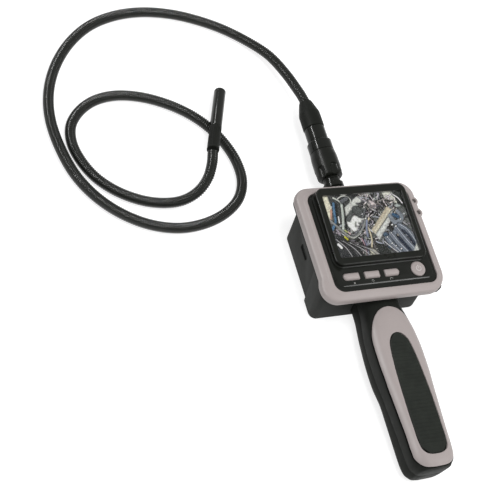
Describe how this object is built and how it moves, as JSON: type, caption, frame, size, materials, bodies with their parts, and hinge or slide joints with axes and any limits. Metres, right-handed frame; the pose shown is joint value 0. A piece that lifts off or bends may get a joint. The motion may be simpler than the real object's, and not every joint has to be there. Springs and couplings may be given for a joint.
{
  "type": "inspection camera",
  "caption": "Hand-held inspection camera lying on its back: boxy screen head with buttons, battery handle with a ribbed grip, and a long gooseneck with a small camera at its tip.",
  "frame": {"origin": "on the surface the camera lies on, midway along and across the handset (butt of the handle to the end of the gooseneck's strain relief)", "axes": "+Y up the handle towards the gooseneck's connector, +X to the right of the screen, +Z out of the screen"},
  "size_m": [0.2727, 0.4333, 0.0532],
  "materials": {
    "light_plastic": "warm light grey, fine satin grain",
    "black_plastic": "black, fine spark-eroded grain",
    "grey_plastic": "dark grey, matt grain",
    "gloss_black": "polished black",
    "rubber": "matt black, ribbed",
    "gooseneck_sheath": "satin black sheath over a wound coil",
    "clear_glass": "clear, polished",
    "lcd_glass": "display panel, smooth",
    "white_plastic": "white diffuser",
    "circuit_board": "green solder mask",
    "chip_resin": "black resin",
    "nickel": "nickel plated",
    "cell_jacket": "printed film jacket, plain",
    "led_resin": "clear yellowish resin"
  },
  "bodies": {
    "handset": {"backlight": "white_plastic", "battery_1": "cell_jacket", "battery_2": "cell_jacket", "battery_3": "cell_jacket", "battery_4": "cell_jacket", "battery_contact_1": "nickel", "battery_contact_2": "nickel", "battery_contact_3": "nickel", "battery_spring_1": "nickel", "battery_spring_2": "nickel", "bezel_screw_1": "nickel", "bezel_screw_2": "nickel", "card_socket": "nickel", "case_screw_1": "nickel", "case_screw_2": "nickel", "case_screw_3": "nickel", "case_screw_4": "nickel", "front_panel": "gloss_black", "grip_insert": "rubber", "grip_trim": "light_plastic", "handle_back_shell": "black_plastic", "handle_front_shell": "black_plastic", "head_back_shell": "grey_plastic", "head_lower_cover": "grey_plastic", "keypad_board": "circuit_board", "lcd_panel": "lcd_glass", "main_board": "circuit_board", "middle_frame": "black_plastic", "neck_socket": "black_plastic", "port_cover": "rubber", "screen_bezel": "light_plastic", "screen_frame": "gloss_black", "screen_window": "clear_glass", "tact_switch_1": "nickel", "tact_switch_2": "nickel", "tact_switch_3": "nickel", "tact_switch_4": "nickel", "video_chip": "chip_resin"},
    "battery_door": {"battery_door": "black_plastic"},
    "button_menu": {"button_menu": "light_plastic"},
    "button_up": {"button_up": "light_plastic"},
    "button_down": {"button_down": "light_plastic"},
    "button_power": {"button_power": "light_plastic"},
    "gooseneck": {"plug_body": "nickel", "connector_collar": "black_plastic", "connector_sleeve": "black_plastic", "strain_relief": "rubber", "gooseneck_tube": "gooseneck_sheath", "camera_ferrule": "black_plastic", "camera_head": "gloss_black", "camera_lens": "clear_glass", "camera_led_1": "led_resin", "camera_led_2": "led_resin", "camera_led_3": "led_resin", "camera_led_4": "led_resin"},
    "lock_ring": {"lock_ring": "black_plastic"}
  },
  "joints": [
    {"name": "battery_door_slide", "type": "slide", "parent": "handset", "child": "battery_door", "axis": [0, -1, 0], "range_m": [0, 0.03]},
    {"name": "press_menu", "type": "slide", "parent": "handset", "child": "button_menu", "axis": [0, 0, -1], "range_m": [0, 0.0008], "stiffness_N_per_m": 450},
    {"name": "press_up", "type": "slide", "parent": "handset", "child": "button_up", "axis": [0, 0, -1], "range_m": [0, 0.0008], "stiffness_N_per_m": 450},
    {"name": "press_down", "type": "slide", "parent": "handset", "child": "button_down", "axis": [0, 0, -1], "range_m": [0, 0.0008], "stiffness_N_per_m": 450},
    {"name": "press_power", "type": "slide", "parent": "handset", "child": "button_power", "axis": [0, 0, -1], "range_m": [0, 0.0008], "stiffness_N_per_m": 450},
    {"name": "gooseneck_unplug", "type": "slide", "parent": "handset", "child": "gooseneck", "axis": [0, 1, 0], "range_m": [0, 0.036]},
    {"name": "lock_ring_turn", "type": "hinge", "parent": "gooseneck", "child": "lock_ring", "pos_m": [0, 0.1, 0.0165], "axis": [0, 1, 0], "range_deg": [0, 810]}
  ]
}
